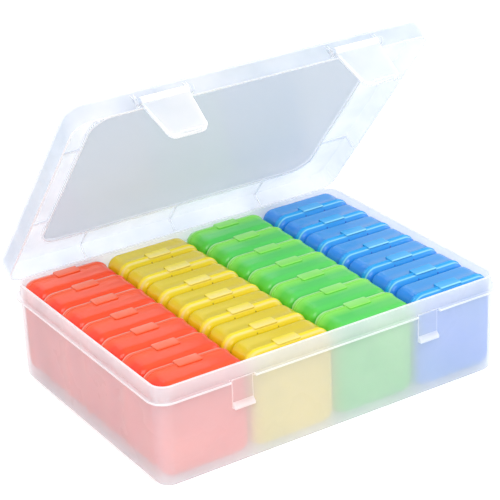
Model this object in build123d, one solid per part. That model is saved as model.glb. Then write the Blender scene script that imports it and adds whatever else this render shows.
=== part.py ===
from build123d import *
from math import atan2, cos, degrees, radians, sin
import os

# Bead storage box: a hinged case that holds small clamshell boxes standing on edge.
# X runs along the long side, the latches face -Y, the hinge is at +Y and +Z is up.
# The origin is at the middle of the case's underside. Sizes are in millimetres.

# Small boxes
column_colours = ("red", "yellow", "green", "blue")
lid_at_back = {"red": True, "yellow": False, "green": True, "blue": False}
rows = 7
box_width = 51.0
box_height = 53.6
box_thickness = 20.8
box_corner = 7.5
box_wall = 1.1
box_bevel = 3.0
box_draft = 0.6
outer_corner_facets = 3
inner_corner_facets = 1
box_lid_depth = 5.4
box_lid_draft = 0.35
seam_gap = 0.1
tab_width = 14.0
tab_reach = 3.4
tab_thickness = 0.8
tab_gap = 0.1

# How the small boxes stand in the case
side_gap = 0.4
face_gap = 0.3
wall_play = 0.7
seat_gap = 0.2

# Case base
wall = 1.5
wall_draft = 0.4
floor_thickness = 2.4
case_corner = 8.0
foot_radius = 3.2
inside_foot_bevel = 0.8
rim_above_boxes = 0.0
ledge_below_rim = 7.6
ledge_thickness = 1.6
ledge_reach = 2.3
ledge_bevel = 0.6
ledge_break = 14.6

# Lid
skirt_gap = 1.0
skirt_wall = 1.3
skirt_lift = 0.3
lid_plate = 1.5
lid_over_tabs = 0.5
lid_edge_radius = 2.0
panel_inset_side = 19.0
panel_inset_end = 16.6
panel_corner = 13.0
panel_step = 0.6
ring_height = 0.7
rib_thickness = 1.2
rib_reach = 0.7
side_rib_spacing = 70.0
back_rib_spacing = 58.0

# Latches and the lugs that they catch
latch_spacing = 115.0
latch_root_width = 27.0
latch_tip_width = 21.0
latch_length = 26.6
latch_plate = 1.5
latch_tip_radius = 4.0
latch_barrel_radius = 2.0
latch_pin_radius = 1.2
latch_pin_drop = 9.0
latch_pin_out = 2.9
latch_ear = 2.2
latch_flange = 1.2
latch_flange_wall = 1.2
hook_width = 15.0
hook_thickness = 3.0
hook_grip = 2.0
finger_lip = 1.4
lug_width = 12.2
lug_height = 4.2
lug_reach = 2.7
lug_nose = 1.3
lug_below_rim = 19.4
lug_pad = 0.5
hook_gap = 0.4

# Hinge
hinge_spacing = 124.0
hinge_out = 7.4
hinge_below_ledge = 1.6
knuckle_radius = 3.0
knuckle_width = 16.0
hinge_ear = 5.0
hinge_pin_radius = 1.4
hinge_root = 5.5

# Clearances shared by both kinds of pivot
bore_gap = 0.08
end_gap = 0.3

# How far the lid stands open, and the latches stand out, in the rest pose
lid_open_angle = 51.0
latch_out_angle = 12.5

# Worked out from the sizes above
columns = len(column_colours)
column_pitch = box_width + side_gap
row_pitch = box_thickness + face_gap
tub_depth = box_thickness - box_lid_depth - seam_gap
inside_width = columns * column_pitch - side_gap + 2 * wall_play
inside_depth = rows * row_pitch - face_gap + 2 * wall_play
floor_width = inside_width + 2 * wall
floor_depth = inside_depth + 2 * wall
rim_width = floor_width + 2 * wall_draft
rim_depth = floor_depth + 2 * wall_draft
box_bottom = floor_thickness + seat_gap
box_top = box_bottom + box_height
rim_top = box_top + rim_above_boxes
ledge_top = rim_top - ledge_below_rim
skirt_bottom = ledge_top + skirt_lift
ring_under = box_top + tab_gap + tab_thickness + lid_over_tabs
panel_under = ring_under + ring_height
plate_under = panel_under + panel_step
lid_top = plate_under + lid_plate
lid_width = rim_width + 2 * (skirt_gap + skirt_wall)
lid_depth = rim_depth + 2 * (skirt_gap + skirt_wall)
lid_corner = case_corner + skirt_gap + skirt_wall
panel_width = lid_width - 2 * panel_inset_side
panel_depth = lid_depth - 2 * panel_inset_end
hinge_y = rim_depth / 2 + hinge_out
hinge_z = ledge_top - hinge_below_ledge
latch_y = -lid_depth / 2 - latch_pin_out
latch_z = lid_top - latch_pin_drop
lug_top = rim_top - lug_below_rim
lug_bottom = lug_top - lug_height
flap_inside = latch_y + latch_pin_radius
latch_tip = latch_z - latch_length


def rounded_block(width, depth, corner, low, high, draft=0.0):
    """A block with rounded corners, whose outline grows by the draft on each side."""
    foot = Plane.XY.offset(low) * RectangleRounded(width, depth, corner)
    head_outline = RectangleRounded(width + 2 * draft, depth + 2 * draft, corner + draft)
    return loft([foot, Plane.XY.offset(high) * head_outline], ruled=True)


def plain_block(x_range, y_range, z_range):
    """A box given by its lowest and highest value on each axis."""
    spans = [high - low for low, high in (x_range, y_range, z_range)]
    middle = [(low + high) / 2 for low, high in (x_range, y_range, z_range)]
    return Pos(*middle) * Box(*spans)


def side_profile(points, x_middle, width):
    """A solid with the outline given as (y, z) points, spread evenly about x_middle."""
    outline = make_face(Polyline(*[(y, z) for y, z in points], close=True))
    solid = extrude(Plane.YZ * outline, amount=width / 2, both=True)
    return Pos(x_middle, 0, 0) * solid


def bar(y, z, radius, x_middle, width):
    """A round bar along X, centred on x_middle."""
    return Pos(x_middle, y, z) * Rot(0, 90, 0) * Cylinder(radius, width)


def edges_at_height(solid, height):
    """The edges that lie flat at one height."""
    return [
        edge
        for edge in solid.edges()
        if abs(edge.bounding_box().min.Z - height) < 1e-4
        and abs(edge.bounding_box().max.Z - height) < 1e-4
    ]


def wall_reach(height):
    """How far the case's outside wall stands out, on each side, from its foot."""
    return wall_draft * height / rim_top


def build_base():
    """The open case with its ledge, catch lugs and hinge ears."""
    base = rounded_block(floor_width, floor_depth, case_corner, 0, rim_top, wall_draft)
    base = fillet(edges_at_height(base, 0), foot_radius)
    cavity = rounded_block(
        inside_width,
        inside_depth,
        case_corner - wall,
        floor_thickness,
        rim_top,
        wall_draft,
    )
    cavity = chamfer(edges_at_height(cavity, floor_thickness), inside_foot_bevel)
    base += build_ledge()
    for side in (-1, 1):
        base += build_lug(side * latch_spacing / 2)
        for ear_side in (-1, 1):
            base += build_hinge_ear(side * hinge_spacing / 2, ear_side)
    return base - cavity


def build_ledge():
    """The lip round the case that the lid's skirt comes down to, open at the latches."""
    ring = rounded_block(
        rim_width + 2 * ledge_reach,
        rim_depth + 2 * ledge_reach,
        case_corner + ledge_reach,
        ledge_top - ledge_thickness,
        ledge_top,
    )
    ring = chamfer(edges_at_height(ring, ledge_top - ledge_thickness), ledge_bevel)
    front = -rim_depth / 2
    for side in (-1, 1):
        middle = side * latch_spacing / 2
        ring -= plain_block(
            (middle - ledge_break / 2, middle + ledge_break / 2),
            (front - 2 * ledge_reach, front),
            (ledge_top - 2 * ledge_thickness, ledge_top + ledge_thickness),
        )
    return ring


def build_lug(x_middle):
    """A catch lug with a sloping top and flat underside, on a thin pad of the front wall."""
    face = -floor_depth / 2 - wall_reach(lug_bottom)
    inner = face + wall / 2
    nose = face - lug_reach
    lug = side_profile(
        [
            (inner, lug_top),
            (face, lug_top),
            (nose, lug_bottom + lug_nose),
            (nose, lug_bottom),
            (inner, lug_bottom),
        ],
        x_middle,
        lug_width,
    )
    pad = side_profile(
        [
            (inner, ledge_top),
            (-rim_depth / 2 - lug_pad, ledge_top),
            (-rim_depth / 2 - lug_pad, lug_bottom),
            (inner, lug_bottom),
        ],
        x_middle,
        lug_width,
    )
    return lug + pad


def build_hinge_ear(x_middle, ear_side):
    """One ear of a hinge: a rounded arm from the back wall with a bore for the lid's pin."""
    x_ear = x_middle + ear_side * (knuckle_width / 2 + end_gap + hinge_ear / 2)
    wall_face = rim_depth / 2 - wall / 2
    arm = side_profile(
        [
            (wall_face, ledge_top),
            (hinge_y, hinge_z + knuckle_radius / 2),
            (hinge_y, hinge_z - knuckle_radius),
            (wall_face, hinge_z - knuckle_radius - hinge_root),
        ],
        x_ear,
        hinge_ear,
    )
    ear = arm + bar(hinge_y, hinge_z, knuckle_radius, x_ear, hinge_ear)
    return ear - bar(hinge_y, hinge_z, hinge_pin_radius + bore_gap, x_ear, 2 * hinge_ear)


def build_closed_lid():
    """The lid as it lies on the closed case."""
    lid = rounded_block(lid_width, lid_depth, lid_corner, skirt_bottom, lid_top)
    lid = fillet(edges_at_height(lid, lid_top), lid_edge_radius)
    lid -= rounded_block(
        lid_width - 2 * skirt_wall,
        lid_depth - 2 * skirt_wall,
        lid_corner - skirt_wall,
        skirt_bottom,
        plate_under,
    )
    lid += rounded_block(panel_width, panel_depth, panel_corner, ring_under, lid_top - panel_step)
    for low, high in ((ring_under, panel_under), (lid_top - panel_step, lid_top + lid_plate)):
        lid -= rounded_block(
            panel_width - 2 * rib_thickness,
            panel_depth - 2 * rib_thickness,
            panel_corner - rib_thickness,
            low,
            high,
        )
    lid += build_lid_ribs()
    for side in (-1, 1):
        lid += build_lid_knuckle(side * hinge_spacing / 2)
        for ear_side in (-1, 1):
            lid += build_latch_ear(side * latch_spacing / 2, ear_side)
    return lid


def build_lid_ribs():
    """Low ribs that brace the panel's ring against the skirt and run down inside it."""
    side_face = lid_width / 2 - skirt_wall
    end_face = lid_depth / 2 - skirt_wall
    run = skirt_bottom + rib_thickness
    over = plate_under + lid_plate / 2
    half = rib_thickness / 2
    ribs = Part()
    for side in (-1, 1):
        for place in (-side_rib_spacing / 2, side_rib_spacing / 2):
            across = (place - half, place + half)
            ribs += plain_block(
                sorted((side * (panel_width / 2 - half), side * (side_face + half))),
                across,
                (ring_under, over),
            )
            ribs += plain_block(
                sorted((side * (side_face - rib_reach), side * (side_face + half))),
                across,
                (run, over),
            )
        for step in (-1, 0, 1):
            across = (step * back_rib_spacing - half, step * back_rib_spacing + half)
            ribs += plain_block(
                across,
                sorted((side * (panel_depth / 2 - half), side * (end_face + half))),
                (ring_under, over),
            )
            ribs += plain_block(
                across,
                sorted((side * (end_face - rib_reach), side * (end_face + half))),
                (run, over),
            )
    return ribs


def build_lid_knuckle(x_middle):
    """A hinge knuckle on the lid's back, with the stub pins that turn in the base's ears."""
    skirt_face = lid_depth / 2 - skirt_wall / 2
    arm = side_profile(
        [
            (skirt_face, hinge_z + knuckle_radius + hinge_root),
            (hinge_y + knuckle_radius / 2, hinge_z + knuckle_radius / 2),
            (hinge_y - knuckle_radius / 2, hinge_z),
            (skirt_face, hinge_z + knuckle_radius),
        ],
        x_middle,
        knuckle_width,
    )
    knuckle = arm + bar(hinge_y, hinge_z, knuckle_radius, x_middle, knuckle_width)
    pin_length = knuckle_width + 2 * hinge_ear
    return knuckle + bar(hinge_y, hinge_z, hinge_pin_radius, x_middle, pin_length)


def build_latch_ear(x_middle, ear_side):
    """One cheek of a latch seat: a rib down the front skirt that ends round a pin bore."""
    x_ear = x_middle + ear_side * (latch_root_width / 2 + end_gap + latch_ear / 2)
    skirt_face = -lid_depth / 2 + skirt_wall / 2
    reach = latch_barrel_radius
    arm = side_profile(
        [
            (skirt_face, lid_top - lid_edge_radius),
            (latch_y, latch_z + reach / 2),
            (latch_y, latch_z - reach),
            (skirt_face, latch_z - reach),
        ],
        x_ear,
        latch_ear,
    )
    ear = arm + bar(latch_y, latch_z, reach, x_ear, latch_ear)
    return ear - bar(latch_y, latch_z, latch_pin_radius + bore_gap, x_ear, 2 * latch_ear)


def build_engaged_latch(x_middle):
    """A latch flap hanging straight down from its pins, with its hook under the lug."""
    outline = make_face(
        Polyline(
            (-latch_root_width / 2, latch_z),
            (latch_root_width / 2, latch_z),
            (latch_tip_width / 2, latch_tip),
            (-latch_tip_width / 2, latch_tip),
            close=True,
        )
    )
    tip_corners = [v for v in outline.vertices() if abs(v.Y - latch_tip) < 1e-4]
    outline = fillet(tip_corners, latch_tip_radius)
    inner_outline = offset(outline, amount=-latch_flange_wall)
    face_plane = Plane(origin=(0, flap_inside, 0), x_dir=(1, 0, 0), z_dir=(0, -1, 0))
    flap = extrude(face_plane * outline, amount=latch_plate)
    rim = extrude(face_plane * (outline - inner_outline), amount=-latch_flange)
    rim -= plain_block(
        (-latch_root_width, latch_root_width),
        (flap_inside, flap_inside + latch_root_width),
        (latch_z - latch_barrel_radius - latch_flange, latch_z + latch_root_width),
    )
    hook_top = lug_bottom - hook_gap
    nose = -floor_depth / 2 - wall_reach(lug_bottom) - lug_reach + hook_grip
    hook = side_profile(
        [
            (flap_inside - latch_plate / 2, hook_top),
            (nose, hook_top),
            (nose, hook_top - hook_thickness / 2),
            (flap_inside - latch_plate / 2, hook_top - hook_thickness),
        ],
        0,
        hook_width,
    )
    lip = side_profile(
        [
            (flap_inside, latch_tip + latch_plate),
            (flap_inside - latch_plate - finger_lip, latch_tip + latch_plate / 2),
            (flap_inside - latch_plate - finger_lip, latch_tip),
            (flap_inside, latch_tip),
        ],
        0,
        latch_tip_width - 2 * latch_tip_radius,
    )
    barrel = bar(latch_y, latch_z, latch_barrel_radius, 0, latch_root_width)
    pins = bar(latch_y, latch_z, latch_pin_radius, 0, latch_root_width + 2 * latch_ear)
    return Pos(x_middle, 0, 0) * (flap + rim + hook + lip + barrel + pins)


def opened(solid):
    """A solid of the closed lid, swung up to where the lid stands open."""
    return solid.rotate(Axis((0, hinge_y, hinge_z), (1, 0, 0)), -lid_open_angle)


def swung_out(solid):
    """An engaged latch, swung away from the lug about its own pins."""
    return solid.rotate(Axis((0, latch_y, latch_z), (1, 0, 0)), -latch_out_angle)


def box_outline(inset, corner_facets):
    """A small box's face outline, drawn in on every side, each corner in equal facets."""
    corner = box_corner - inset
    x_centre = box_width / 2 - box_corner
    y_centre = box_height / 2 - box_corner
    points = []
    for x_side, y_side, start in ((1, 1, 0), (-1, 1, 90), (-1, -1, 180), (1, -1, 270)):
        for step in range(corner_facets + 1):
            angle = radians(start + 90 * step / corner_facets)
            x = x_side * x_centre + corner * cos(angle)
            points.append((x, y_side * y_centre + corner * sin(angle)))
    return make_face(Polyline(*points, close=True))


def bevelled_pan(depth, draft, inset, bevel, corner_facets):
    """A solid pan that stands on its seam, drawn in by the draft up to its bevelled face."""
    side = depth - bevel
    slope = degrees(atan2(draft, side))
    walls = extrude(box_outline(inset, corner_facets), amount=side, taper=slope)
    shoulder = walls.faces().sort_by(Axis.Z)[-1]
    return walls + extrude(shoulder, amount=bevel, taper=45)


def half_shell(depth, draft):
    """One hollow half of a small box: a drafted pan with bevelled edges, open at the seam."""
    outside = bevelled_pan(depth, draft, 0, box_bevel, outer_corner_facets)
    inner_bevel = box_bevel - box_wall / 2
    inside = bevelled_pan(depth - box_wall, draft, box_wall, inner_bevel, inner_corner_facets)
    return outside - inside


def build_tub():
    """The deep half of a small box, floor down, with its rim at the seam."""
    return Pos(0, 0, tub_depth) * Rot(180, 0, 0) * half_shell(tub_depth, box_draft)


def build_box_lid():
    """The shallow half of a small box above the seam, with its snap tab on the top side."""
    seam = tub_depth + seam_gap
    lid = Pos(0, 0, seam) * half_shell(box_lid_depth, box_lid_draft)
    tab_low = box_height / 2 + tab_gap
    tab = plain_block(
        (-tab_width / 2, tab_width / 2),
        (tab_low, tab_low + tab_thickness),
        (seam - tab_reach, seam + box_lid_depth - box_bevel),
    )
    tab_root = plain_block(
        (-tab_width / 2, tab_width / 2),
        (box_height / 2 - box_wall, tab_low + tab_thickness),
        (seam, seam + box_lid_depth - box_bevel),
    )
    return lid + tab + tab_root


def stand_in_case(solid, column, row):
    """Stands a small box on edge at its place, counting rows from the front."""
    upright = Rot(90, 0, 0) * Pos(0, 0, -box_thickness / 2) * solid
    if lid_at_back[column_colours[column]]:
        upright = Rot(0, 0, 180) * upright
    x = (column - (columns - 1) / 2) * column_pitch
    y = (row - (rows - 1) / 2) * row_pitch
    return Pos(x, y, box_bottom + box_height / 2) * upright


def all_parts():
    """Every sub-part by name, in the rest pose."""
    parts = {"case_base": build_base(), "case_lid": opened(build_closed_lid())}
    for name, side in (("latch_left", -1), ("latch_right", 1)):
        parts[name] = opened(swung_out(build_engaged_latch(side * latch_spacing / 2)))
    tub, box_lid = build_tub(), build_box_lid()
    for column, colour in enumerate(column_colours):
        for row in range(rows):
            parts[f"{colour}_box_{row + 1}_tub"] = stand_in_case(tub, column, row)
            parts[f"{colour}_box_{row + 1}_lid"] = stand_in_case(box_lid, column, row)
    return parts


os.makedirs("parts", exist_ok=True)
for part_name, part in all_parts().items():
    export_step(part, f"parts/{part_name}.step")
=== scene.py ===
"""The bead storage box: a milky case with an open lid, filled with coloured small boxes."""

import logging
from dataclasses import dataclass, field
from enum import Enum
from math import cos, pi, radians, sin

import bmesh
import bpy
from mathutils import Matrix, Vector
from mathutils.bvhtree import BVHTree


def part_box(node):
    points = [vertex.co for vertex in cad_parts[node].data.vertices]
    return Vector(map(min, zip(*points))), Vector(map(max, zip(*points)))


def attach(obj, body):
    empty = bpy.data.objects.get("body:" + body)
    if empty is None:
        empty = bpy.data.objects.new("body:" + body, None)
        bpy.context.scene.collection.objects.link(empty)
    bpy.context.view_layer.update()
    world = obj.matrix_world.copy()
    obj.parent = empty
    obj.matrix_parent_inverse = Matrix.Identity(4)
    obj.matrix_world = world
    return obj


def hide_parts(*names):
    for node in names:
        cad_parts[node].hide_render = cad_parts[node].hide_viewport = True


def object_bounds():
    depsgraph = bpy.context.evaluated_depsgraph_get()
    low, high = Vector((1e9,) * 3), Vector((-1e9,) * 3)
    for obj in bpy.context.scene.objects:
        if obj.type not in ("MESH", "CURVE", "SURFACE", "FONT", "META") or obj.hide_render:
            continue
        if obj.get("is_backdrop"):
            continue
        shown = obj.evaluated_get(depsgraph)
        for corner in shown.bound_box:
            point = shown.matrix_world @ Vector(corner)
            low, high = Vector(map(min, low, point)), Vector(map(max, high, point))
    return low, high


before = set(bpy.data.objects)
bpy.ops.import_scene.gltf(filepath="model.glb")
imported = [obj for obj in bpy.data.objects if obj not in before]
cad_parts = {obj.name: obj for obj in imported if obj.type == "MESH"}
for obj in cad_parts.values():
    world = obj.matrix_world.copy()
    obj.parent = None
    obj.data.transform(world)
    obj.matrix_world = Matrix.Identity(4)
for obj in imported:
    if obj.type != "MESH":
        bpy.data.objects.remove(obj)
cad_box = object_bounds()

log = logging.getLogger("bead_storage_box")

MM = 0.001
BUMP_DEPTH = 0.1 * MM
QUARTERS = ((1, 1), (-1, 1), (-1, -1), (1, -1))

Colour = tuple[float, float, float]
Ring = list[Vector]
Section = list[tuple[float, float]]


def srgb(red: int, green: int, blue: int) -> Colour:
    """A colour written as on screen, turned into the linear one that shaders take.

    Args:
        red: Red from 0 to 255.
        green: Green from 0 to 255.
        blue: Blue from 0 to 255.

    Returns:
        The same colour in linear light.
    """

    def linear(value: int) -> float:
        """One channel in linear light."""
        share = value / 255
        return share / 12.92 if share <= 0.04045 else ((share + 0.055) / 1.055) ** 2.4

    return linear(red), linear(green), linear(blue)


class Value:
    """A shader socket that carries a number, so that arithmetic on it adds Math nodes."""

    def __init__(self, graph: "Graph", socket: bpy.types.NodeSocket) -> None:
        """Keeps the socket and the graph that it belongs to."""
        self.graph = graph
        self.socket = socket

    def _math(self, operation: str, *operands: "Value | float") -> "Value":
        """Adds one Math node.

        Args:
            operation: The node's operation.
            *operands: Its inputs in order.

        Returns:
            The node's result.
        """
        sockets = dict(enumerate(operands))
        return self.graph.node("ShaderNodeMath", {"operation": operation}, sockets).value()

    def __add__(self, other: "Value | float") -> "Value":
        """The sum of two values."""
        return self._math("ADD", self, other)

    __radd__ = __add__

    def __mul__(self, other: "Value | float") -> "Value":
        """The product of two values."""
        return self._math("MULTIPLY", self, other)

    __rmul__ = __mul__

    def __sub__(self, other: "Value | float") -> "Value":
        """This value less another."""
        return self._math("SUBTRACT", self, other)

    def __rsub__(self, other: "Value | float") -> "Value":
        """Another value less this one."""
        return self._math("SUBTRACT", other, self)

    def ramp(self, low: float, high: float) -> "Value":
        """A smooth step from 0 at low to 1 at high.

        Args:
            low: The value that gives 0.
            high: The value that gives 1.

        Returns:
            The stepped value.
        """
        sockets = {"Value": self, "From Min": low, "From Max": high}
        settings = {"interpolation_type": "SMOOTHSTEP"}
        return self.graph.node("ShaderNodeMapRange", settings, sockets).value()


@dataclass(frozen=True)
class Node:
    """A shader node with the graph that it stands in."""

    graph: "Graph"
    node: bpy.types.Node

    def value(self, output: int | str = 0) -> Value:
        """One of the node's outputs, as a value."""
        return Value(self.graph, self.node.outputs[output])

    def __getitem__(self, output: int | str) -> bpy.types.NodeSocket:
        """One of the node's outputs, as a socket."""
        return self.node.outputs[output]


Link = Value | bpy.types.NodeSocket | float | Colour


class Graph:
    """The node graph of one material or of the world."""

    def __init__(self, tree: bpy.types.NodeTree) -> None:
        """Empties the tree that the graph is built in."""
        self.tree = tree
        tree.nodes.clear()

    def node(
        self,
        kind: str,
        settings: dict[str, object] | None = None,
        sockets: dict[int | str, Link] | None = None,
    ) -> Node:
        """Adds a node.

        Args:
            kind: The node's type.
            settings: Its properties, which are set first.
            sockets: Values or links for its inputs, by name or place.

        Returns:
            The new node.
        """
        made = self.tree.nodes.new(kind)
        for name, setting in (settings or {}).items():
            setattr(made, name, setting)
        for name, given in (sockets or {}).items():
            socket = made.inputs[name]
            if isinstance(given, Value):
                self.tree.links.new(given.socket, socket)
            elif isinstance(given, bpy.types.NodeSocket):
                self.tree.links.new(given, socket)
            elif isinstance(given, tuple) and socket.type == "RGBA":
                socket.default_value = (*given, 1.0)
            else:
                socket.default_value = given
        return Node(self, made)

    def blend(self, factor: Value | float, first: Link, second: Link) -> bpy.types.NodeSocket:
        """Mixes two colours.

        Args:
            factor: 0 for the first colour and 1 for the second.
            first: The colour at 0.
            second: The colour at 1.

        Returns:
            The mixed colour's socket.
        """
        sockets = {0: factor, 6: first, 7: second}
        return self.node("ShaderNodeMix", {"data_type": "RGBA"}, sockets)[2]

    def noise(self, place: bpy.types.NodeSocket, scale: float, detail: float = 3.0) -> Value:
        """Noise from 0 to 1 at a scale in cycles per metre.

        Args:
            place: The coordinates that it is read at.
            scale: Its scale.
            detail: Its octaves.

        Returns:
            The noise as a value.
        """
        sockets = {"Vector": place, "Scale": scale, "Detail": detail}
        return self.node("ShaderNodeTexNoise", {}, sockets).value("Fac")

    def place(self) -> bpy.types.NodeSocket:
        """The coordinates of the piece itself, in metres."""
        return self.node("ShaderNodeTexCoord")["Object"]

    def mark(self, name: str) -> Value:
        """A number that the mesh stores on its vertices or faces."""
        return self.node("ShaderNodeAttribute", {"attribute_name": name}).value("Fac")

    def finish(self, surface: bpy.types.NodeSocket) -> None:
        """Links the finished surface to the graph's output.

        Args:
            surface: The shader's socket.
        """
        world = isinstance(self.tree.id_data, bpy.types.World)
        kind = "ShaderNodeOutputWorld" if world else "ShaderNodeOutputMaterial"
        self.node(kind, {}, {"Surface": surface})


def new_material(name: str) -> tuple[bpy.types.Material, Graph]:
    """An empty node material and its graph.

    Args:
        name: The material's name.

    Returns:
        The material and the graph to fill.
    """
    material = bpy.data.materials.new(name)
    material.use_nodes = True
    return material, Graph(material.node_tree)


@dataclass(frozen=True)
class MilkyPlastic:
    """Clear polypropylene with a milky cast, whiter where the light crosses more of it, with a painted
    highlight on its rounded edges and painted shade on broad flat faces when a colour is given for them.
    """

    name: str
    tint: Colour = srgb(250, 251, 253)
    shade: Colour = srgb(240, 244, 248)
    solid: Colour = srgb(254, 254, 255)
    clear: Colour = srgb(253, 254, 255)
    broad: Colour | None = None
    milk: float = 0.46
    thick_milk: float = 0.4
    flow_milk: float = 0.06
    collar_milk: float = 0.18
    collar_height: float | None = None
    collar_below: float = 1.2 * MM
    collar_above: float = 0.4 * MM
    roughness: float = 0.28
    uneven: float = 0.1
    backlit: float = 0.45
    cloud_scale: float = 30.0
    flow_scale: float = 9.0
    frost_scale: float = 2600.0

    def material(self) -> bpy.types.Material:
        """Lets through part of what is behind the plastic and clouds the rest.

        Returns:
            The material.
        """
        material, graph = new_material(self.name)
        place = graph.place()
        cloud = graph.noise(place, self.cloud_scale)
        flow = graph.noise(place, self.flow_scale, 1.0)
        frost = graph.noise(place, self.frost_scale, 2.0)
        colour = graph.blend(cloud.ramp(0.3, 0.75), self.tint, self.shade)
        # Painted shade on the broad flat faces, such as the underside of the lid's panel.
        if self.broad is not None:
            colour = graph.blend(graph.mark("broad"), colour, self.broad)
        # Whiter where the plastic is thick, plus a painted highlight on the rounded edges.
        colour = graph.blend(graph.mark("thick"), colour, self.solid)
        bump = graph.node("ShaderNodeBump", {}, {"Strength": 0.05, "Distance": BUMP_DEPTH, "Height": frost})
        milk = flow * self.flow_milk + (self.milk - self.flow_milk / 2)
        milk = milk + graph.mark("thick") * self.thick_milk
        if self.collar_height is not None:
            height = graph.node("ShaderNodeSeparateXYZ", {}, {"Vector": place}).value("Z")
            low, high = self.collar_height - self.collar_below, self.collar_height + self.collar_above
            milk = milk + height.ramp(low, high) * self.collar_milk
        plastic = graph.node(
            "ShaderNodeBsdfPrincipled",
            {},
            {
                "Base Color": colour,
                "Roughness": cloud * self.uneven + (self.roughness - self.uneven / 2),
                "IOR": 1.49,
                "Specular IOR Level": 0.4,
                "Normal": bump[0],
            },
        )
        glow = graph.node("ShaderNodeBsdfTranslucent", {}, {"Color": colour})
        cloudy = graph.node("ShaderNodeMixShader", {}, {0: self.backlit, 1: plastic[0], 2: glow[0]})
        clear = graph.node("ShaderNodeBsdfTransparent", {}, {"Color": self.clear})
        body = graph.node("ShaderNodeMixShader", {}, {0: milk, 1: clear[0], 2: cloudy[0]})
        graph.finish(body[0])
        return material


@dataclass(frozen=True)
class TintedPlastic:
    """Glossy see-through coloured plastic, with a painted reflection on the lid's band, painted highlights
    along its edge and tab, a painted glow at the ends and painted shade on the nubs.
    """

    name: str
    middle: Colour
    end: Colour
    band: Colour
    line: Colour
    deep: Colour
    band_share: float
    brow_share: float
    line_share: float
    end_share: float = 0.9
    end_mottle: float = 0.2
    mottle: float = 0.3
    glow: float = 0.1
    roughness: float = 0.15
    uneven: float = 0.1
    cloud_scale: float = 60.0
    grain_scale: float = 1400.0

    def material(self) -> bpy.types.Material:
        """Colours the plastic by where it lies on a small box, with painted light and shade on its ends,
        band, edges and nubs.

        Returns:
            The material.
        """
        material, graph = new_material(self.name)
        place = graph.place()
        cloud = graph.noise(place, self.cloud_scale)
        grain = graph.noise(place, self.grain_scale, 2.0)
        # Painted light at the rounded ends: a deeper, glowing tone where the light crosses more plastic.
        end = graph.mark("end") * self.end_share + cloud * self.end_mottle - self.end_mottle / 2
        # Painted reflection of the bright surroundings on the lid's flat band and on the tab.
        band = graph.mark("band") * (cloud * self.mottle + (self.band_share - self.mottle / 2))
        # Painted highlights: a soft one on the lid's back rounding and a thin line along the lid's edge and
        # the tab's edge.
        brow = graph.mark("brow") * (cloud * self.mottle + (self.brow_share - self.mottle / 2))
        colour = graph.blend(end, self.middle, self.end)
        colour = graph.blend(band, colour, self.band)
        colour = graph.blend(brow, colour, self.line)
        colour = graph.blend(graph.mark("line") * self.line_share, colour, self.line)
        # Painted shade on the nubs.
        colour = graph.blend(graph.mark("deep"), colour, self.deep)
        bump = graph.node("ShaderNodeBump", {}, {"Strength": 0.04, "Distance": BUMP_DEPTH, "Height": grain})
        plastic = graph.node(
            "ShaderNodeBsdfPrincipled",
            {},
            {
                "Base Color": colour,
                "Roughness": cloud * self.uneven + (self.roughness - self.uneven / 2),
                "IOR": 1.5,
                "Specular IOR Level": 0.35,
                "Coat Weight": cloud * 0.1 + 0.1,
                "Coat Roughness": 0.05,
                "Normal": bump[0],
            },
        )
        through = graph.node("ShaderNodeBsdfTranslucent", {}, {"Color": colour})
        both = graph.node("ShaderNodeMixShader", {}, {0: self.glow, 1: plastic[0], 2: through[0]})
        graph.finish(both[0])
        return material


class BoxColour(Enum):
    """The four columns of small boxes, each with its finish."""

    # In each finish, every colour but the middle is painted light: a deeper glow at the rounded ends, a
    # reflection on the lid's band, highlights along its edge and tab, and shade on the nubs.
    RED = TintedPlastic(
        "red_plastic",
        middle=srgb(255, 92, 44),
        end=srgb(250, 44, 34),
        band=srgb(255, 118, 78),
        line=srgb(255, 190, 170),
        deep=srgb(206, 52, 30),
        band_share=0.5,
        brow_share=0.2,
        line_share=0.7,
    )
    YELLOW = TintedPlastic(
        "yellow_plastic",
        middle=srgb(232, 208, 20),
        end=srgb(244, 214, 30),
        band=srgb(254, 232, 40),
        line=srgb(255, 236, 150),
        deep=srgb(186, 162, 30),
        band_share=0.9,
        brow_share=0.9,
        line_share=0.5,
    )
    GREEN = TintedPlastic(
        "green_plastic",
        middle=srgb(86, 214, 106),
        end=srgb(100, 214, 40),
        band=srgb(150, 238, 96),
        line=srgb(190, 250, 176),
        deep=srgb(60, 158, 50),
        band_share=0.85,
        brow_share=0.3,
        line_share=0.9,
    )
    BLUE = TintedPlastic(
        "blue_plastic",
        middle=srgb(36, 158, 228),
        end=srgb(56, 140, 255),
        band=srgb(20, 174, 248),
        line=srgb(150, 230, 255),
        deep=srgb(46, 110, 206),
        band_share=0.8,
        brow_share=0.25,
        line_share=1.0,
    )

    @property
    def word(self) -> str:
        """The colour's name as the CAD nodes spell it."""
        return self.name.lower()


def link(name: str, mesh: bpy.types.Mesh) -> bpy.types.Object:
    """Puts a mesh into the scene.

    Args:
        name: The piece's name.
        mesh: Its mesh.

    Returns:
        The new object.
    """
    piece = bpy.data.objects.new(name, mesh)
    bpy.context.scene.collection.objects.link(piece)
    return piece


def dress(piece: bpy.types.Object, material: bpy.types.Material, node: str, body: str) -> None:
    """Gives a piece its material and sets it in place of a CAD node.

    Args:
        piece: The piece.
        material: Its material.
        node: The CAD node that it stands for.
        body: The body that it rides on.
    """
    piece.data.materials.clear()
    piece.data.materials.append(material)
    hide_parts(node)
    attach(piece, body)
    log.info("%s stands for %s on %s, %d faces", piece.name, node, body, len(piece.data.polygons))


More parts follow.
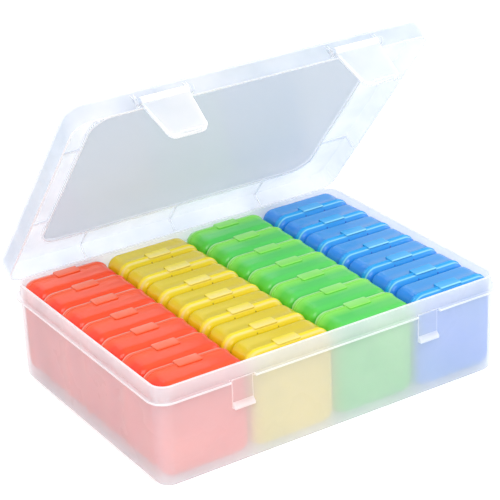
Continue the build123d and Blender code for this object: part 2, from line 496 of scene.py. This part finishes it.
@dataclass
class Moulding:
    """A copy of a CAD node whose sharp outward edges are rounded over, as a moulding's are."""

    node: str
    name: str
    round_over: float = 0.25 * MM
    round_steps: int = 2
    weld: float = 3e-6
    sharp_turn: float = radians(28)
    plain_wall: float = 2.0 * MM
    thick_wall: float = 4.0 * MM
    edge_share: float = 0.7
    probe_depth: float = 0.02 * MM
    least_lean: float = 0.6
    plane_step: float = 0.2 * MM
    turn_steps: int = 50
    broad_area: float = 0.016

    def welded_mesh(self) -> bpy.types.Mesh:
        """The CAD node's mesh, with its doubled corners made one.

        Returns:
            The mesh, with an empty material for the faces and one for the rounded edges.
        """
        shape = bmesh.new()
        shape.from_mesh(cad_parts[self.node].data)
        bmesh.ops.remove_doubles(shape, verts=shape.verts, dist=self.weld)
        corners = [vert.co.copy() for vert in shape.verts]
        shape.verts.index_update()
        faces = [[vert.index for vert in face.verts] for face in shape.faces]
        shape.free()
        mesh = bpy.data.meshes.new(self.name)
        mesh.from_pydata(corners, [], faces)
        mesh.shade_smooth()
        for _ in range(2):
            mesh.materials.append(None)
        return mesh

    def pick_outer_edges(self, mesh: bpy.types.Mesh) -> None:
        """Marks the sharp outward edges, which are the only ones that get rounded over.

        Args:
            mesh: The welded mesh, whose edges get a bevel weight.
        """
        shape = bmesh.new()
        shape.from_mesh(mesh)
        weight = shape.edges.layers.float.new("bevel_weight_edge")
        for edge in shape.edges:
            if edge.is_manifold and edge.is_convex and edge.calc_face_angle(0.0) > self.sharp_turn:
                edge[weight] = 1.0
        shape.to_mesh(mesh)
        shape.free()

    def rounded_mesh(self, piece: bpy.types.Object) -> bpy.types.Mesh:
        """The piece's mesh after its marked edges are rounded over.

        Args:
            piece: The piece, which gets and loses the modifiers.

        Returns:
            The rounded mesh, whose rounded edges have material index 1.
        """
        bevel = piece.modifiers.new("round_over", "BEVEL")
        bevel.width = self.round_over
        bevel.segments = self.round_steps
        bevel.limit_method = "WEIGHT"
        bevel.use_clamp_overlap = False
        bevel.miter_outer = "MITER_ARC"
        bevel.material = 1
        even = piece.modifiers.new("even_shading", "WEIGHTED_NORMAL")
        even.keep_sharp = False
        settled = piece.evaluated_get(bpy.context.evaluated_depsgraph_get())
        mesh = bpy.data.meshes.new_from_object(settled)
        piece.modifiers.clear()
        return mesh

    def straighten_shading(self, mesh: bpy.types.Mesh) -> None:
        """Turns back the corner normals that lean too far from their own face.

        Args:
            mesh: The rounded mesh, whose normals are set anew.
        """
        normals = []
        for polygon in mesh.polygons:
            for corner in polygon.loop_indices:
                leaning = mesh.corner_normals[corner].vector
                close = leaning.dot(polygon.normal) > self.least_lean
                normals.append(Vector(leaning if close else polygon.normal))
        mesh.normals_split_custom_set(normals)

    def mark_thickness(self, mesh: bpy.types.Mesh) -> None:
        """Stores on every face how much plastic lies behind it, from 0 for a wall to 1; the rounded edges get
        at least a set share, which paints a highlight along them.

        Args:
            mesh: The rounded mesh, whose rounded edges have material index 1.
        """
        tree = BVHTree.FromPolygons([v.co for v in mesh.vertices], [p.vertices for p in mesh.polygons])
        shares = []
        for polygon in mesh.polygons:
            start = polygon.center - polygon.normal * self.probe_depth
            distance = tree.ray_cast(start, -polygon.normal)[3] or 0.0
            share = clamp((distance - self.plain_wall) / (self.thick_wall - self.plain_wall))
            # Rounded edges get at least this share: a painted highlight along them.
            shares.append(max(share, self.edge_share) if polygon.material_index == 1 else share)
            polygon.material_index = 0
        store(mesh, "thick", shares, "FACE")

    def mark_broad(self, mesh: bpy.types.Mesh) -> None:
        """Stores on every face whether it lies in a broad flat plane, such as the lid's panel, which the
        lid's finish paints with shade.

        Args:
            mesh: The rounded mesh.
        """
        planes: dict[tuple[int, ...], float] = {}
        keys = []
        for polygon in mesh.polygons:
            offset = round(polygon.normal.dot(polygon.center) / self.plane_step)
            key = (*(round(part * self.turn_steps) for part in polygon.normal), offset)
            planes[key] = planes.get(key, 0.0) + polygon.area
            keys.append(key)
        store(mesh, "broad", [float(planes[key] > self.broad_area) for key in keys], "FACE")

    def build(self) -> bpy.types.Object:
        """Builds the piece and marks its faces for the milky plastic.

        Returns:
            The new piece.
        """
        mesh = self.welded_mesh()
        self.pick_outer_edges(mesh)
        piece = link(self.name, mesh)
        piece.data = self.rounded_mesh(piece)
        self.straighten_shading(piece.data)
        self.mark_thickness(piece.data)
        self.mark_broad(piece.data)
        return piece


def store(mesh: bpy.types.Mesh, name: str, numbers: list[float], domain: str = "POINT") -> None:
    """Stores a number at every vertex, or every face with domain FACE, for the material to read."""
    mesh.attributes.new(name, "FLOAT", domain).data.foreach_set("value", numbers)


def clamp(number: float) -> float:
    """The number, kept between 0 and 1."""
    return min(max(number, 0.0), 1.0)


def skin(shape: bmesh.types.BMesh, outlines: list[Ring]) -> None:
    """Joins outlines of the same count one to the next and closes the first and the last.

    Args:
        shape: The shape that grows.
        outlines: The outlines in order.
    """
    rings = [[shape.verts.new(point) for point in outline] for outline in outlines]
    count = len(rings[0])
    for first, second in zip(rings, rings[1:]):
        for index in range(count):
            after = (index + 1) % count
            shape.faces.new((first[index], first[after], second[after], second[index]))
    shape.faces.new(rings[0])
    shape.faces.new(rings[-1])


@dataclass
class SmallBox:
    """One clamshell box that stands on edge in the case: a tub, its lid and the snap tab."""

    colour: BoxColour
    row: int
    material: bpy.types.Material
    corner: float = 7.5 * MM
    least_corner: float = 0.4 * MM
    wall: float = 1.1 * MM
    tub_round: float = 4.4 * MM
    lid_round: float = 3.2 * MM
    band_reach: float = 6.5 * MM
    flange: float = 1.0 * MM
    flange_foot: float = 0.35 * MM
    flange_edge: float = 0.1 * MM
    seam_edge: float = 0.2 * MM
    seam_inset: float = 0.3 * MM
    lid_flange_proud: float = 0.1 * MM
    tub_flange_inset: float = 0.15 * MM
    wall_inset: float = 0.35 * MM
    seam_gap: float = 0.1 * MM
    corner_steps: int = 7
    round_steps: int = 7
    inner_steps: int = 3
    tab_width: float = 14.0 * MM
    tab_reach: float = 3.3 * MM
    tab_proud: float = 0.5 * MM
    tab_corner: float = 0.9 * MM
    tab_least_corner: float = 0.2 * MM
    tab_steps: int = 3
    tab_root: float = 0.55
    tab_rim: float = 0.6 * MM
    nub_radius: float = 0.55 * MM
    nub_back: float = 0.55 * MM
    nub_spread: float = 0.46
    end_from: float = 0.62
    end_over: float = 0.36
    line_step: int = 6
    line_half_width: float = 0.2 * MM
    line_from: float = 0.36
    brow_half_width: float = 1.4 * MM
    brow_back: float = 0.3 * MM
    tub_band_reach: float = 0.3 * MM
    middle: Vector = field(init=False)
    half: tuple[float, float] = field(init=False)
    seam: float = field(init=False)
    facing: int = field(init=False)
    tub_depth: float = field(init=False)
    lid_depth: float = field(init=False)

    def __post_init__(self) -> None:
        """Reads the box's place and depths from its two CAD nodes."""
        low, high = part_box(self.node("tub"))
        lid_low, lid_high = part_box(self.node("lid"))
        self.middle = (low + high) / 2
        self.half = ((high.x - low.x) / 2, (high.z - low.z) / 2)
        self.facing = 1 if lid_high.y > high.y else -1
        self.seam = high.y if self.facing > 0 else low.y
        face = lid_high.y if self.facing > 0 else lid_low.y
        self.tub_depth = high.y - low.y
        self.lid_depth = abs(face - self.seam) - self.seam_gap

    def node(self, part: str) -> str:
        """The CAD node of the box's tub or lid."""
        return f"{self.colour.word}_box_{self.row}_{part}"

    def ring(self, inset: float, along: float) -> Ring:
        """The box's outline at one depth.

        Args:
            inset: How far the outline is drawn in from the box's full size.
            along: The distance from the seam, towards the lid.

        Returns:
            The outline's points, in the shared frame.
        """
        wide, tall = self.half
        radius = max(self.corner - inset, self.least_corner)
        points = []
        for quarter, (x_side, z_side) in enumerate(QUARTERS):
            for step in range(self.corner_steps + 1):
                angle = (quarter + step / self.corner_steps) * pi / 2
                x = x_side * (wide - inset - radius) + radius * cos(angle)
                z = z_side * (tall - inset - radius) + radius * sin(angle)
                points.append(Vector((self.middle.x + x, self.seam + self.facing * along, self.middle.z + z)))
        return points

    def half_section(self, outward: int, depth: float, radius: float, proud: float) -> Section:
        """The wall's section from the outer face, over the flange and back to the inner face.

        Args:
            outward: 1 where the half lies on the lid's side of the seam, and -1 for the tub.
            depth: The half's depth from the seam.
            radius: The rounding of its outer face.
            proud: How far its flange stands past the box's full size.

        Returns:
            Pairs of inset and distance from the seam.
        """
        gap = self.seam_gap if outward > 0 else 0.0
        outer = []
        for step in range(self.round_steps + 1):
            turn = pi / 2 * step / self.round_steps
            outer.append((self.wall_inset + radius * (1 - sin(turn)), depth - radius * (1 - cos(turn))))
        if depth > 2 * radius:
            outer.append((self.wall_inset, self.band_reach))
        flange = [
            (self.wall_inset, self.flange + self.flange_foot),
            (self.wall_inset - self.flange_edge, self.flange + self.flange_edge),
            (-proud, self.flange - self.flange_edge),
            (-proud, self.seam_edge),
            (self.seam_inset, 0.0),
            (self.wall, 0.0),
        ]
        inner = []
        bend = radius - self.wall
        for step in range(self.inner_steps + 1):
            turn = pi / 2 * step / self.inner_steps
            inset = self.wall_inset + self.wall + bend * (1 - cos(turn))
            inner.append((inset, depth - self.wall - bend * (1 - sin(turn))))
        return [(inset, outward * along + gap) for inset, along in outer + flange + inner]

    def sweep(self, shape: bmesh.types.BMesh, section: Section) -> None:
        """Sweeps a section round the box's outline and closes both faces.

        Args:
            shape: The shape that grows.
            section: Pairs of inset and distance from the seam.
        """
        skin(shape, [self.ring(*place) for place in section])

    def tab_stop(self) -> float:
        """Where the tab starts on the lid's rounding, as a distance from the seam."""
        return self.lid_depth - self.lid_round * self.tab_root

    def add_tab(self, shape: bmesh.types.BMesh) -> None:
        """Adds the snap tab: a low pad with rounded corners that reaches from the lid over the tub.

        Args:
            shape: The lid's shape, which grows.
        """
        top = self.middle.z + self.half[1]
        start, stop = -self.tab_reach, self.tab_stop()
        centre = self.seam + self.facing * (start + stop) / 2
        proud = self.tab_proud
        levels = (
            (0.0, -0.4 * MM),
            (0.0, proud - 0.3 * MM),
            (0.15 * MM, proud - 0.1 * MM),
            (0.5 * MM, proud),
            (1.0 * MM, proud),
        )
        rings = []
        for inset, lift in levels:
            x_half, y_half = self.tab_width / 2 - inset, (stop - start) / 2 - inset
            radius = max(self.tab_corner - inset, self.tab_least_corner)
            ring = []
            for quarter, (x_side, y_side) in enumerate(QUARTERS):
                for step in range(self.tab_steps + 1):
                    angle = (quarter + step / self.tab_steps) * pi / 2
                    x = self.middle.x + x_side * (x_half - radius) + radius * cos(angle)
                    y = centre + y_side * (y_half - radius) + radius * sin(angle)
                    ring.append(Vector((x, y, top + lift)))
            rings.append(ring)
        skin(shape, rings)

    def nub_places(self) -> list[Vector]:
        """Finds the places of the two small nubs at the tab's root, low on the lid's rounding.

        Returns:
            The nubs' centres.
        """
        top = self.middle.z + self.half[1] - self.wall_inset - self.tab_root * self.lid_round
        along = self.seam + self.facing * (self.lid_depth - self.nub_back)
        spread = self.nub_spread * self.tab_width
        return [Vector((self.middle.x + side * spread, along, top)) for side in (-1, 1)]

    def add_nubs(self, shape: bmesh.types.BMesh) -> None:
        """Adds the small nubs at the root of the tab, which the plastic paints with shade.

        Args:
            shape: The lid's shape, which grows.
        """
        for place in self.nub_places():
            moved = Matrix.Translation(place)
            size = self.nub_radius
            bmesh.ops.create_uvsphere(shape, u_segments=10, v_segments=6, radius=size, matrix=moved)

    def marks_at(self, place: Vector, nubs: list[Vector]) -> dict[str, float]:
        """The marks from 0 to 1 that tell the plastic where a point of the box lies.

        Args:
            place: The point.
            nubs: The places of the nubs.

        Returns:
            The marks for the painted glow at the ends, the painted reflection on the band, the painted
            highlights on the brow and the line, and the painted shade on the nubs.
        """
        x = abs(place.x - self.middle.x)
        along = self.facing * (place.y - self.seam)
        on_tab = place.z > self.middle.z + self.half[1] + 0.2 * MM
        line_turn = pi / 2 * self.line_step / self.round_steps
        line_at = self.lid_depth + self.seam_gap - self.lid_round * (1 - cos(line_turn))
        reach = self.band_reach if self.facing > 0 else self.tub_band_reach
        # The band's painted reflection fades out towards the seam and stops at the highlight line.
        band = clamp(1 + min(along, 0.0) / reach) * clamp((line_at + 0.4 * MM - along) / MM)
        # Painted highlight line on the lid's rounding beyond the tab, and along the tab's edge.
        edge_highlight = abs(along - line_at) < self.line_half_width and x > self.line_from * self.tab_width
        tab_highlight = along > self.tab_stop() - self.tab_rim
        on_nub = min((place - nub).length for nub in nubs) < self.nub_radius * 1.05
        return {
            "end": clamp((x / self.half[0] - self.end_from) / self.end_over),
            "band": 1.0 if on_tab else band,
            "brow": 1.0 - clamp(abs(along - line_at + self.brow_back) / self.brow_half_width),
            "line": float(tab_highlight if on_tab else edge_highlight),
            "deep": float(on_nub),
        }

    def settle(self, name: str, shape: bmesh.types.BMesh) -> bpy.types.Mesh:
        """Turns a finished shape into a mesh that knows where its parts lie.

        Args:
            name: The mesh's name.
            shape: The shape, which is freed.

        Returns:
            The mesh, with the box's marks at each vertex.
        """
        bmesh.ops.recalc_face_normals(shape, faces=shape.faces)
        mesh = bpy.data.meshes.new(name)
        shape.to_mesh(mesh)
        shape.free()
        mesh.shade_smooth()
        nubs = self.nub_places()
        marks = [self.marks_at(vert.co, nubs) for vert in mesh.vertices]
        for mark in marks[0]:
            store(mesh, mark, [at_vertex[mark] for at_vertex in marks])
        return mesh

    def build(self) -> None:
        """Builds the tub and the lid and sets them in place of their CAD nodes."""
        body = f"{self.colour.word}_box_{self.row}"
        tub = bmesh.new()
        self.sweep(tub, self.half_section(-1, self.tub_depth, self.tub_round, -self.tub_flange_inset))
        mesh = self.settle(f"{self.colour.word}_tub_{self.row}", tub)
        dress(link(mesh.name, mesh), self.material, self.node("tub"), body)
        lid = bmesh.new()
        self.sweep(lid, self.half_section(1, self.lid_depth, self.lid_round, self.lid_flange_proud))
        self.add_tab(lid)
        self.add_nubs(lid)
        mesh = self.settle(f"{self.colour.word}_cover_{self.row}", lid)
        dress(link(mesh.name, mesh), self.material, self.node("lid"), body)


@dataclass
class Case:
    """The milky case: the base and the lid that stands open behind it."""

    finish: MilkyPlastic = MilkyPlastic("milky_case", collar_height=48.6 * MM)
    lid_finish: MilkyPlastic = MilkyPlastic(
        "milky_lid",
        tint=srgb(240, 244, 252),
        shade=srgb(216, 225, 238),
        # Painted shade for the lid's panel, whose underside faces away from the light.
        broad=srgb(172, 186, 204),
        milk=0.5,
        thick_milk=0.5,
        roughness=0.14,
    )

    def build(self) -> None:
        """Builds the base and the lid from their CAD nodes."""
        base = Moulding("case_base", "base_moulding").build()
        dress(base, self.finish.material(), "case_base", "base")
        lid = Moulding("case_lid", "lid_moulding").build()
        dress(lid, self.lid_finish.material(), "case_lid", "lid")


@dataclass
class Latches:
    """The two milky flaps that hook under the base's lugs."""

    finish: MilkyPlastic = MilkyPlastic("milky_latch", shade=srgb(234, 240, 248), milk=0.6, roughness=0.35)

    def build(self) -> None:
        """Builds both flaps from their CAD nodes."""
        material = self.finish.material()
        for side in ("left", "right"):
            flap = Moulding(f"latch_{side}", f"{side}_flap").build()
            dress(flap, material, f"latch_{side}", f"latch_{side}")


@dataclass(frozen=True)
class Softbox:
    """A soft square lamp: its name, its place and side in metres, and its power in watts."""

    name: str
    place: tuple[float, float, float]
    side: float
    power: float


@dataclass
class Studio:
    """The pale floor, the white surroundings, the soft lamps and the camera."""

    floor_size: float = 8.0
    ambient: float = 0.78
    azimuth: float = 32.05
    elevation: float = 24.91
    roll: float = -2.43
    distance: float = 0.99628
    shift_right: float = -0.00389
    shift_up: float = 0.02114
    aim_height: float = 0.05
    aim_from_front: float = 0.07613
    focal_pixels: float = 1860.76
    picture_width: float = 500.0
    sensor: float = 36.0
    near: float = 0.05
    far: float = 30.0
    floor_glow: float = 0.25
    white: Colour = srgb(255, 255, 255)
    lamps: tuple[Softbox, ...] = (
        Softbox("key_softbox", (-0.9, -1.3, 1.5), 1.3, 20.0),
        Softbox("side_softbox", (1.6, -0.6, 0.9), 1.2, 9.0),
        Softbox("back_softbox", (0.4, 1.5, 1.4), 1.1, 11.0),
    )

    def build(self) -> None:
        """Sets up the surroundings, the lamps and the camera."""
        self.build_world()
        self.build_floor()
        for lamp in self.lamps:
            self.add_lamp(lamp)
        self.build_camera()

    def seen(self, graph: Graph) -> Value:
        """Tells the rays that show the surroundings from those that only bring light.

        Args:
            graph: The graph that uses the answer.

        Returns:
            1 where the camera, a reflection or clear plastic looks, and 0 for other light.
        """
        path = graph.node("ShaderNodeLightPath")
        looks = path.value("Is Camera Ray") + path.value("Is Glossy Ray")
        return (looks + path.value("Is Transmission Ray")).ramp(0.0, 1.0)

    def build_world(self) -> None:
        """Makes the surroundings white to look at and an even, plain light."""
        world = bpy.data.worlds.new("surroundings")
        world.use_nodes = True
        bpy.context.scene.world = world
        graph = Graph(world.node_tree)
        strength = self.seen(graph) * (1.0 - self.ambient) + self.ambient
        sky = graph.node("ShaderNodeBackground", {}, {"Color": self.white, "Strength": strength})
        graph.finish(sky[0])

    def build_floor(self) -> None:
        """Lays a pale floor that turns white where it is fully lit and keeps the shadow."""
        half = self.floor_size / 2
        mesh = bpy.data.meshes.new("floor")
        corners = [(-half, -half, 0), (half, -half, 0), (half, half, 0), (-half, half, 0)]
        mesh.from_pydata(corners, [], [(0, 1, 2, 3)])
        floor = link("floor", mesh)
        material, graph = new_material("pale_floor")
        speck = graph.noise(graph.place(), 4.0)
        colour = graph.blend(speck, srgb(250, 250, 251), srgb(247, 248, 249))
        paper = graph.node("ShaderNodeBsdfDiffuse", {}, {"Color": colour})
        strength = self.seen(graph) * self.floor_glow
        glow = graph.node("ShaderNodeEmission", {}, {"Color": self.white, "Strength": strength})
        both = graph.node("ShaderNodeAddShader", {}, {0: paper[0], 1: glow[0]})
        graph.finish(both[0])
        mesh.materials.append(material)
        floor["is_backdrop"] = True

    def add_lamp(self, softbox: Softbox) -> None:
        """Adds a soft square lamp that faces the case.

        Args:
            softbox: The lamp to add.
        """
        place = Vector(softbox.place)
        lamp = bpy.data.lights.new(softbox.name, "AREA")
        lamp.size = softbox.side
        lamp.energy = softbox.power
        holder = bpy.data.objects.new(softbox.name, lamp)
        bpy.context.scene.collection.objects.link(holder)
        holder.location = place
        holder.rotation_mode = "QUATERNION"
        holder.rotation_quaternion = (Vector((0, 0, self.aim_height)) - place).to_track_quat("-Z", "Y")

    def build_camera(self) -> None:
        """Stands the camera at the photograph's angle."""
        turn, tilt, lean = (radians(angle) for angle in (self.azimuth, self.elevation, self.roll))
        back = Vector((-cos(tilt) * sin(turn), -cos(tilt) * cos(turn), sin(tilt)))
        level = (-back).cross(Vector((0, 0, 1))).normalized()
        upright = level.cross(-back)
        right = cos(lean) * level + sin(lean) * upright
        up = cos(lean) * upright - sin(lean) * level
        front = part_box("case_base")[0].y + self.aim_from_front
        aim = Vector((0, front, self.aim_height)) + self.shift_right * right + self.shift_up * up
        lens = bpy.data.cameras.new("camera")
        lens.sensor_width = self.sensor
        lens.lens = self.focal_pixels / self.picture_width * self.sensor
        lens.clip_start, lens.clip_end = self.near, self.far
        camera = bpy.data.objects.new("camera", lens)
        bpy.context.scene.collection.objects.link(camera)
        rotation = Matrix((right, up, back)).transposed().to_4x4()
        camera.matrix_world = Matrix.Translation(aim + back * self.distance) @ rotation
        bpy.context.scene.camera = camera


def write_sizes() -> None:
    """Writes the CAD box and the dressed object's box."""
    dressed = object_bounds()
    named = {"cad": cad_box, "visual": dressed}
    for name, (low, high) in named.items():
        log.info("%s box: %s mm", name, [round(side / MM, 2) for side in high - low])


def main() -> None:
    """Builds the case, the latches, every small box and the studio."""
    logging.basicConfig(level=logging.INFO, format="%(message)s")
    bpy.context.scene.view_settings.view_transform = "Standard"
    Case().build()
    Latches().build()
    for colour in BoxColour:
        material = colour.value.material()
        tubs = [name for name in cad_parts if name.endswith("_tub")]
        rows = sum(name.startswith(f"{colour.word}_box_") for name in tubs)
        for row in range(1, rows + 1):
            SmallBox(colour, row, material).build()
    Studio().build()
    write_sizes()


if __name__ == "__main__":
    main()
